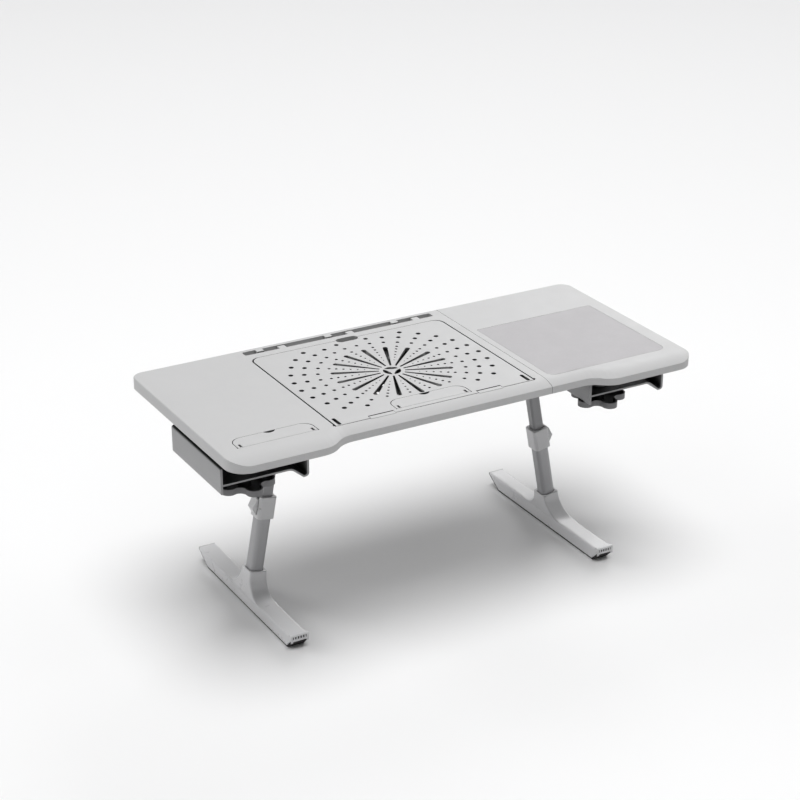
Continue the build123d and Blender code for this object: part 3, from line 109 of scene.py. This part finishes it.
def noise(tree, vector, scale, detail=2.0, rough=0.5):
    """A noise texture in object space; scale is in features per metre."""
    node = tree.nodes.new("ShaderNodeTexNoise")
    node.inputs["Scale"].default_value = scale
    node.inputs["Detail"].default_value = detail
    node.inputs["Roughness"].default_value = rough
    tree.links.new(vector, node.inputs["Vector"])
    return node.outputs["Fac"]


def spread(tree, value, low, high, start=0.3, end=0.7):
    """Maps a value's range, by default a noise's middle range, onto low..high."""
    node = tree.nodes.new("ShaderNodeMapRange")
    node.inputs["From Min"].default_value = start
    node.inputs["From Max"].default_value = end
    node.inputs["To Min"].default_value = low
    node.inputs["To Max"].default_value = high
    tree.links.new(value, node.inputs["Value"])
    return node.outputs["Result"]


def math_node(tree, operation, first, second):
    """One sum on two sockets, or on a socket and a number."""
    node = tree.nodes.new("ShaderNodeMath")
    node.operation = operation
    tree.links.new(first, node.inputs[0])
    if isinstance(second, (int, float)):
        node.inputs[1].default_value = second
    else:
        tree.links.new(second, node.inputs[1])
    return node.outputs["Value"]


def blend_color(tree, factor, first, second):
    """Mixes two colours, each a socket or a plain RGB tuple, by a socket or a number."""
    node = tree.nodes.new("ShaderNodeMix")
    node.data_type = "RGBA"
    if isinstance(factor, float):
        node.inputs["Factor"].default_value = factor
    else:
        tree.links.new(factor, node.inputs["Factor"])
    for socket, color in ((node.inputs[6], first), (node.inputs[7], second)):
        if isinstance(color, tuple):
            socket.default_value = (*color, 1.0)
        else:
            tree.links.new(color, socket)
    return node.outputs[2]


def shade(color, factor):
    """A colour made darker or lighter."""
    return tuple(min(1.0, channel * factor) for channel in color)


def mottled(tree, factor, color, mottle):
    """A colour that goes a little darker and lighter with a noise."""
    return blend_color(tree, factor, shade(color, 1 - mottle), shade(color, 1 + mottle))


def stretched(tree, coords, stretch, turn):
    """Coordinates drawn out along a leaning axis, for a brushed grain."""
    mapping = tree.nodes.new("ShaderNodeMapping")
    mapping.vector_type = "TEXTURE"
    mapping.inputs["Rotation"].default_value = (0, radians(turn), 0)
    mapping.inputs["Scale"].default_value = stretch
    tree.links.new(coords, mapping.inputs["Vector"])
    return mapping.outputs["Vector"]


def soft_edges(tree, coords, bevel):
    """A normal that rounds the edges, and a patchy factor of where they are."""
    soft = tree.nodes.new("ShaderNodeBevel")
    soft.samples = EDGE_SAMPLES
    soft.inputs["Radius"].default_value = bevel
    geometry = tree.nodes.new("ShaderNodeNewGeometry")
    turned = tree.nodes.new("ShaderNodeVectorMath")
    turned.operation = "DOT_PRODUCT"
    tree.links.new(soft.outputs["Normal"], turned.inputs[0])
    tree.links.new(geometry.outputs["Normal"], turned.inputs[1])
    edge = spread(tree, turned.outputs["Value"], 1.0, 0.0, *EDGE_TURNED)
    patchy = spread(tree, noise(tree, coords, EDGE_PATCH_SCALE, MARK_DETAIL), EDGE_PATCH_LOW, 1.0)
    return soft.outputs["Normal"], math_node(tree, "MULTIPLY", edge, patchy)


def grain(tree, coords, kind, scale, depth, normal):
    """A normal with the surface's grain, of fine noise or leather cells."""
    if kind == "leather":
        cells = tree.nodes.new("ShaderNodeTexVoronoi")
        cells.feature = "SMOOTH_F1"
        cells.inputs["Scale"].default_value = scale
        cells.inputs["Smoothness"].default_value = LEATHER_SMOOTHNESS
        tree.links.new(coords, cells.inputs["Vector"])
        height = cells.outputs["Distance"]
    else:
        height = noise(tree, coords, scale, GRAIN_DETAIL, GRAIN_NOISE_ROUGH)
    bump = tree.nodes.new("ShaderNodeBump")
    bump.inputs["Strength"].default_value = GRAIN_STRENGTH
    bump.inputs["Distance"].default_value = depth
    tree.links.new(height, bump.inputs["Height"])
    tree.links.new(normal, bump.inputs["Normal"])
    return bump.outputs["Normal"]


def finish_material(
    name,
    color,
    rough=0.5,
    metal=0.0,
    specular=0.5,
    bevel=0.0004,
    grain_kind="noise",
    grain_scale=1900.0,
    grain_depth=0.00003,
    wear=1.12,
    mottle=0.02,
    painted_shade=1.0,
    painted_shade_reach=0.03,
    painted_shade_range=(0.30, 0.80),
    stretch=None,
    turn=0.0,
):
    """A moulded, painted or metal finish: colour drift, grain, soft edges, rubbed edges and painted shade in
    the hollows.
    """
    material, tree, _, shader = new_material(name)
    coords = tree.nodes.new("ShaderNodeTexCoord").outputs["Object"]
    grain_coords = stretched(tree, coords, stretch, turn) if stretch else coords

    # Colour: a slow drift over the piece, a fine speckle of the grain, and rubbed edges
    drift = spread(tree, noise(tree, coords, DRIFT_SCALE, DRIFT_DETAIL), 0.0, 1.0)
    speckle = spread(tree, noise(tree, grain_coords, grain_scale / 2, SPECKLE_DETAIL), 0.0, 1.0)
    drifted = mottled(tree, drift, color, mottle)
    speckled = mottled(tree, speckle, color, SPECKLE_MOTTLE * mottle)
    base = blend_color(tree, SPECKLE_SHARE, drifted, speckled)
    soft_normal, edge = soft_edges(tree, coords, bevel)
    base = blend_color(tree, edge, base, shade(color, wear))

    # Painted shade: hollows, gaps and places close under other parts go darker in the colour, where an
    # occlusion test finds them closed in
    if painted_shade < 1.0:
        painted_shade_occlusion = tree.nodes.new("ShaderNodeAmbientOcclusion")
        painted_shade_occlusion.samples = PAINTED_SHADE_SAMPLES
        painted_shade_occlusion.inputs["Distance"].default_value = painted_shade_reach
        open_sky = spread(tree, painted_shade_occlusion.outputs["AO"], 0.0, 1.0, *painted_shade_range)
        base = blend_color(tree, open_sky, shade(color, painted_shade), base)
    tree.links.new(base, shader.inputs["Base Color"])

    # Roughness: handling marks, and smoother edges
    marks = noise(tree, coords, MARK_SCALE, MARK_DETAIL, GRAIN_NOISE_ROUGH)
    marked = spread(tree, marks, rough - MARK_SMOOTHER, rough + MARK_ROUGHER)
    rubbed = math_node(tree, "MULTIPLY", edge, RUBBED_SMOOTHER)
    tree.links.new(math_node(tree, "SUBTRACT", marked, rubbed), shader.inputs["Roughness"])

    normal = grain(tree, grain_coords, grain_kind, grain_scale, grain_depth, soft_normal)
    tree.links.new(normal, shader.inputs["Normal"])
    shader.inputs["Metallic"].default_value = metal
    shader.inputs["Specular IOR Level"].default_value = specular
    return material


def dress(material, *names):
    """Gives CAD nodes a material."""
    for name in names:
        mesh = nodes[name].data
        mesh.materials.clear()
        mesh.materials.append(material)


def both(*names):
    """The left and the right node of each name."""
    return [f"{name}_{side}" for name in names for side in ("left", "right")]


def floor_finish():
    """Pale paper with a painted shade that makes it a little darker far away, and clear from below so that
    the underside shows.
    """
    material, tree, output, shader = new_material("floor_paper")
    coords = tree.nodes.new("ShaderNodeTexCoord").outputs["Object"]
    distance = tree.nodes.new("ShaderNodeVectorMath")
    distance.operation = "LENGTH"
    tree.links.new(coords, distance.inputs[0])
    # Painted shade: the floor's colour goes darker with distance from its middle
    far = spread(tree, distance.outputs["Value"], 0.0, 1.0, *FLOOR_SHADE_FADE)
    fibre = spread(tree, noise(tree, coords, FIBRE_SCALE), -FIBRE_DRIFT, FIBRE_DRIFT)
    far = math_node(tree, "ADD", far, fibre)
    color = blend_color(tree, far, FLOOR_COLOR, FLOOR_FAR_SHADE_COLOR)
    tree.links.new(color, shader.inputs["Base Color"])
    shader.inputs["Roughness"].default_value = FLOOR_ROUGH
    shader.inputs["Specular IOR Level"].default_value = FLOOR_SPECULAR
    below = tree.nodes.new("ShaderNodeNewGeometry").outputs["Backfacing"]
    clear = tree.nodes.new("ShaderNodeBsdfTransparent").outputs["BSDF"]
    one_sided = tree.nodes.new("ShaderNodeMixShader")
    tree.links.new(below, one_sided.inputs[0])
    tree.links.new(shader.outputs["BSDF"], one_sided.inputs[1])
    tree.links.new(clear, one_sided.inputs[2])
    tree.links.new(one_sided.outputs["Shader"], output.inputs["Surface"])
    return material


# Board, panel and flip-up stops: light grey moulded plastic with a fine grain, in copies that differ only in
# how much painted shade darkens their slots, vents and gaps
lid_finish = finish_material(
    "lid_plastic", BOARD_COLOR, bevel=0.0005, painted_shade=0.02, painted_shade_reach=0.007, painted_shade_range=(0.70, 0.92),
)
dress(lid_finish, "vent_panel", "wing_board")
stop_finish = finish_material(
    "stop_plastic", BOARD_COLOR, bevel=0.0005, painted_shade=0.4, painted_shade_reach=0.006, painted_shade_range=(0.45, 0.85),
)
dress(stop_finish, "panel_stop", "wing_stop")
board_finish = finish_material(
    "board_plastic", BOARD_COLOR, bevel=0.0005, painted_shade=0.10, painted_shade_reach=0.008, painted_shade_range=(0.40, 0.80),
)
dress(board_finish, "top_board")

# Mouse pad: smooth leather
pad_finish = finish_material(
    "pad_leather", PAD_COLOR, rough=0.56, bevel=0.0006, grain_kind="leather", grain_scale=850.0,
    grain_depth=0.00012, mottle=0.03,
)
dress(pad_finish, "mouse_pad")

# Bottom covers: dark plastic
cover_finish = finish_material("cover_plastic", COVER_COLOR, rough=0.6, grain_scale=1300.0, mottle=0.03)
dress(cover_finish, "main_base", "wing_base")

# Feet: smoother plastic with well rounded edges, on rubber soles
foot_finish = finish_material("foot_plastic", FOOT_COLOR, rough=0.31, bevel=0.0028, wear=1.06)
dress(foot_finish, *both("foot", "toe_cap"))
rubber_finish = finish_material(
    "sole_rubber", SOLE_COLOR, rough=0.82, specular=0.3, grain_scale=900.0, grain_depth=0.00008, wear=1.6,
    mottle=0.15,
)
dress(rubber_finish, *both("foot_sole"))

# Fittings, knobs and trays: grey plastic with painted shade darkening its hollows, and on the trays also the
# walls under the board, so that the trays' insides go nearly black
fitting_finish = finish_material("fitting_plastic", FITTING_COLOR, rough=0.42, bevel=0.0006, painted_shade=0.35)
dress(fitting_finish, *both("collar", "lever", "tray_post", "tube_plug"))
knob_finish = finish_material("knob_plastic", KNOB_COLOR, rough=0.45, bevel=0.0008, painted_shade=0.06)
dress(knob_finish, *both("knob"))
tray_finish = finish_material(
    "tray_plastic", TRAY_COLOR, specular=0.25, bevel=0.0007, painted_shade=0.04, painted_shade_reach=0.06,
    painted_shade_range=(0.35, 0.90),
)
dress(tray_finish, *both("tray"))

# Tubes: satin metal, brushed along each leg
for side, lean in (("left", LEG_LEAN), ("right", -LEG_LEAN)):
    for tube, color in TUBE_COLORS.items():
        tube_finish = finish_material(
            f"{tube}_satin_{side}", color, rough=0.42, metal=0.35, bevel=0.0008, grain_scale=1400.0,
            grain_depth=0.00004, mottle=0.05, stretch=BRUSHED, turn=lean,
        )
        dress(tube_finish, f"{tube}_{side}")

# Brackets, pins and screws
bracket_finish = finish_material(
    "bracket_powder_coat", BRACKET_COLOR, rough=0.55, metal=0.2, grain_scale=1000.0, grain_depth=0.00006,
    wear=1.4, mottle=0.05,
)
dress(bracket_finish, *both("leg_bracket"))
steel_finish = finish_material(
    "zinc_steel", STEEL_COLOR, rough=0.34, metal=0.95, bevel=0.0003, grain_scale=1500.0, mottle=0.06,
)
dress(
    steel_finish, "joining_bars", "base_screws", "bracket_screws", "tray_post_screws", "panel_hinge_pins",
    "wing_stop_pins", "panel_stop_pins",
    *both("leg_pin", "lever_pin", "foot_bolt", "tray_bolt", "tray_washer"),
)

# Fan: black plastic, a dark motor and blackened screws
fan_finish = finish_material("fan_plastic", FAN_COLOR, grain_scale=1500.0, wear=1.5, mottle=0.1)
dress(fan_finish, "fan_frame", "fan_rotor", "fan_power_socket")
motor_finish = finish_material("motor_can", MOTOR_COLOR, rough=0.4, metal=0.6, wear=1.5, mottle=0.1)
dress(motor_finish, "fan_motor")
oxide_finish = finish_material("black_oxide", OXIDE_COLOR, rough=0.45, metal=0.5, wear=1.5, mottle=0.1)
dress(oxide_finish, "fan_screws")

# Floor
floor_mesh = bpy.data.meshes.new("floor")
corners = [(x * FLOOR_HALF, y * FLOOR_HALF, 0.0) for x, y in ((-1, -1), (1, -1), (1, 1), (-1, 1))]
floor_mesh.from_pydata(corners, [], [(0, 1, 2, 3)])
floor_mesh.materials.append(floor_finish())
floor = bpy.data.objects.new("floor", floor_mesh)
bpy.context.scene.collection.objects.link(floor)

# Light: a broad lamp above and softer ones around it
for name, (strength, size, tilt, lean) in LAMPS.items():
    lamp = bpy.data.lights.new(f"lamp_{name}", "SUN")
    lamp.energy = strength
    lamp.angle = radians(size)
    lamp_object = bpy.data.objects.new(f"lamp_{name}", lamp)
    lamp_object.rotation_euler = (radians(tilt), radians(lean), 0)
    bpy.context.scene.collection.objects.link(lamp_object)

# Room: dim, but pale to the camera and in shiny or clear surfaces
world = bpy.data.worlds.new("room")
world.use_nodes = True
room_tree = world.node_tree
background = room_tree.nodes["Background"]
background.inputs["Color"].default_value = ROOM_COLOR
ray = room_tree.nodes.new("ShaderNodeLightPath")
seen = math_node(room_tree, "MAXIMUM", ray.outputs["Is Camera Ray"], ray.outputs["Is Glossy Ray"])
seen = math_node(room_tree, "MAXIMUM", seen, ray.outputs["Is Transmission Ray"])
room_light = spread(room_tree, seen, ROOM_STRENGTH, ROOM_SEEN, 0.0, 1.0)
room_tree.links.new(room_light, background.inputs["Strength"])
bpy.context.scene.world = world

# Camera
camera = bpy.data.cameras.new("camera")
camera.lens = CAMERA_LENS
camera.sensor_width = CAMERA_SENSOR
camera.clip_end = CAMERA_FAR
camera_object = bpy.data.objects.new("camera", camera)
camera_object.location = CAMERA_PLACE
camera_object.rotation_euler = (radians(CAMERA_TILT), 0, radians(CAMERA_TURN))
bpy.context.scene.collection.objects.link(camera_object)
bpy.context.scene.camera = camera_object
bpy.context.scene.view_settings.view_transform = "Standard"
